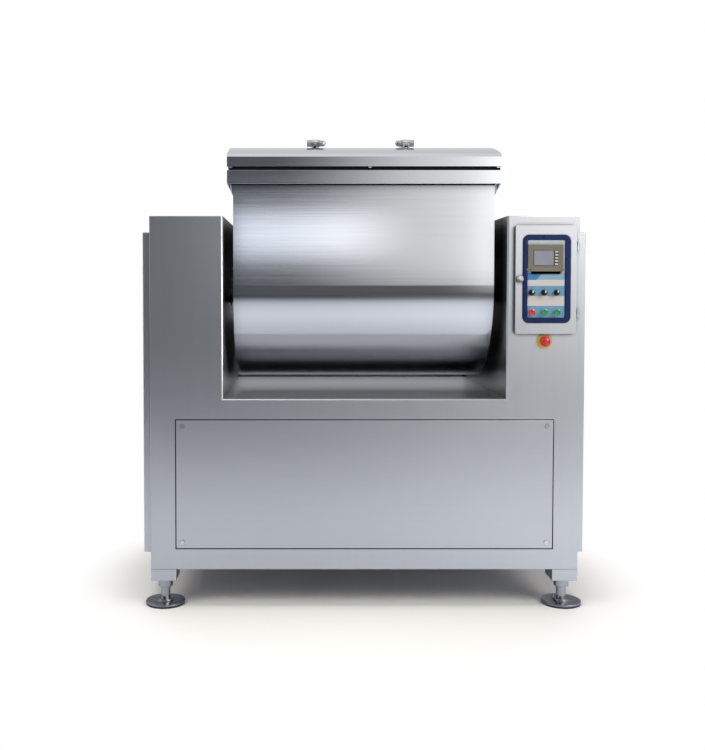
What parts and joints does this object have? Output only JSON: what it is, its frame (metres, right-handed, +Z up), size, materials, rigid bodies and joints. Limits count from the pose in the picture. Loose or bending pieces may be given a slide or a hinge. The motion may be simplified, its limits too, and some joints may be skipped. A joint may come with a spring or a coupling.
{
  "type": "vacuum dough mixer",
  "caption": "Stainless tilting dough mixer: U-shaped trough with vacuum lid and agitator between columns that hold the drives and the control door.",
  "frame": {"origin": "on the floor under the middle of the machine's box", "axes": "+X to the right as seen from the front, -Y to the front, +Z up"},
  "size_m": [1.75, 1.038, 1.8829],
  "materials": {
    "brushed_skin": "brushed",
    "brushed_trough": "brushed",
    "frame_steel": "mill finish",
    "bright_steel": "polished",
    "dark_chrome": "polished",
    "machine_blue": "satin enamel",
    "machine_green": "satin enamel",
    "bronze": "cast",
    "belt_rubber": "matt",
    "seal_rubber": "matt",
    "foot_rubber": "matt",
    "bezel_blue": "gloss",
    "overlay_film": "satin film",
    "panel_frame": "fine texture",
    "screen": "gloss",
    "black_plastic": "satin",
    "grey_plastic": "fine texture",
    "red_plastic": "gloss",
    "green_plastic": "gloss",
    "yellow_plastic": "satin"
  },
  "bodies": {
    "body": {"base_legs": "brushed_skin", "base_rails": "frame_steel", "column_posts": "frame_steel", "bearing_plates": "frame_steel", "bottom_plate": "brushed_skin", "front_skin": "brushed_skin", "rear_skin": "brushed_skin", "side_skins": "brushed_skin", "recess_walls": "brushed_skin", "recess_floor": "brushed_skin", "column_tops": "brushed_skin", "left_side_cover": "brushed_skin", "right_side_cover": "brushed_skin", "front_service_panel": "brushed_skin", "rear_louvre_panel": "brushed_skin", "cover_screws": "bright_steel", "foot_nuts": "bright_steel", "foot_spindles": "bright_steel", "foot_discs": "dark_chrome", "foot_pads": "foot_rubber", "trunnion_bearings": "machine_blue", "drive_motor": "machine_blue", "agitator_reducer": "machine_blue", "drive_belt": "belt_rubber", "tilt_gearmotor": "machine_blue", "vacuum_pump": "machine_green", "vacuum_hose": "belt_rubber", "rotary_union": "bronze", "control_box": "frame_steel", "electrical_parts": "grey_plastic", "cable_gland": "black_plastic", "door_hinges": "bright_steel", "estop_plate": "yellow_plastic", "estop_body": "black_plastic"},
    "trough": {"trough_shell": "brushed_trough", "trough_ends": "brushed_trough", "trough_flange": "brushed_skin", "shaft_seals": "seal_rubber"},
    "lid": {"lid_shell": "brushed_skin", "lid_seal": "seal_rubber", "lid_arms": "brushed_skin", "lid_bolts": "bright_steel"},
    "agitator": {"agitator": "brushed_trough"},
    "motor_pulley": {"motor_pulley": "frame_steel"},
    "reducer_pulley": {"reducer_pulley": "frame_steel"},
    "door": {"control_door": "brushed_skin", "blue_bezel": "bezel_blue", "overlay_plate": "overlay_film", "operator_panel": "panel_frame", "operator_screen": "screen", "operator_keys": "grey_plastic", "switch_bodies": "bright_steel"},
    "door_lock": {"door_lock": "bright_steel"},
    "selector_left": {"selector_left": "black_plastic"},
    "selector_middle": {"selector_middle": "black_plastic"},
    "selector_right": {"selector_right": "black_plastic"},
    "stop_button": {"stop_button": "red_plastic"},
    "start_button": {"start_button": "green_plastic"},
    "jog_button": {"jog_button": "green_plastic"},
    "estop_button": {"estop_button": "red_plastic"}
  },
  "joints": [
    {"name": "trough_tilt", "type": "hinge", "parent": "body", "child": "trough", "pos_m": [0, -0.008, 1.268], "axis": [1, 0, 0], "range_deg": [0, 90]},
    {"name": "lid_hinge", "type": "hinge", "parent": "trough", "child": "lid", "pos_m": [0, 0.443, 1.752], "axis": [-1, 0, 0], "range_deg": [0, 85]},
    {"name": "agitator_spin", "type": "hinge", "parent": "body", "child": "agitator", "pos_m": [0, -0.008, 1.268], "axis": [1, 0, 0], "continuous": true},
    {"name": "reducer_pulley_spin", "type": "hinge", "parent": "body", "child": "reducer_pulley", "pos_m": [-0.805, -0.008, 1.058], "axis": [1, 0, 0], "continuous": true},
    {"name": "motor_pulley_spin", "type": "hinge", "parent": "body", "child": "motor_pulley", "pos_m": [-0.805, -0.008, 0.42], "axis": [1, 0, 0], "continuous": true},
    {"name": "control_door_hinge", "type": "hinge", "parent": "body", "child": "door", "pos_m": [0.8255, -0.48, 1.29], "axis": [0, 0, 1], "range_deg": [0, 110]},
    {"name": "door_lock_turn", "type": "hinge", "parent": "door", "child": "door_lock", "pos_m": [0.5975, -0.489, 1.292], "axis": [0, -1, 0], "range_deg": [0, 90]},
    {"name": "selector_left_turn", "type": "hinge", "parent": "door", "child": "selector_left", "pos_m": [0.644, -0.509, 1.24], "axis": [0, 1, 0], "range_deg": [-45, 45]},
    {"name": "selector_middle_turn", "type": "hinge", "parent": "door", "child": "selector_middle", "pos_m": [0.6925, -0.509, 1.24], "axis": [0, 1, 0], "range_deg": [-45, 45]},
    {"name": "selector_right_turn", "type": "hinge", "parent": "door", "child": "selector_right", "pos_m": [0.741, -0.509, 1.24], "axis": [0, 1, 0], "range_deg": [-45, 45]},
    {"name": "stop_button_push", "type": "slide", "parent": "door", "child": "stop_button", "axis": [0, 1, 0], "range_m": [0, 0.004], "stiffness_N_per_m": 900, "springref_m": -0.001},
    {"name": "start_button_push", "type": "slide", "parent": "door", "child": "start_button", "axis": [0, 1, 0], "range_m": [0, 0.004], "stiffness_N_per_m": 900, "springref_m": -0.001},
    {"name": "jog_button_push", "type": "slide", "parent": "door", "child": "jog_button", "axis": [0, 1, 0], "range_m": [0, 0.004], "stiffness_N_per_m": 900, "springref_m": -0.001},
    {"name": "estop_push", "type": "slide", "parent": "body", "child": "estop_button", "axis": [0, 1, 0], "range_m": [0, 0.006], "stiffness_N_per_m": 1500, "springref_m": -0.001}
  ],
  "couplings": [
    {"joint": "reducer_pulley_spin", "follows": "agitator_spin", "ratio": 15},
    {"joint": "motor_pulley_spin", "follows": "agitator_spin", "ratio": 25}
  ]
}
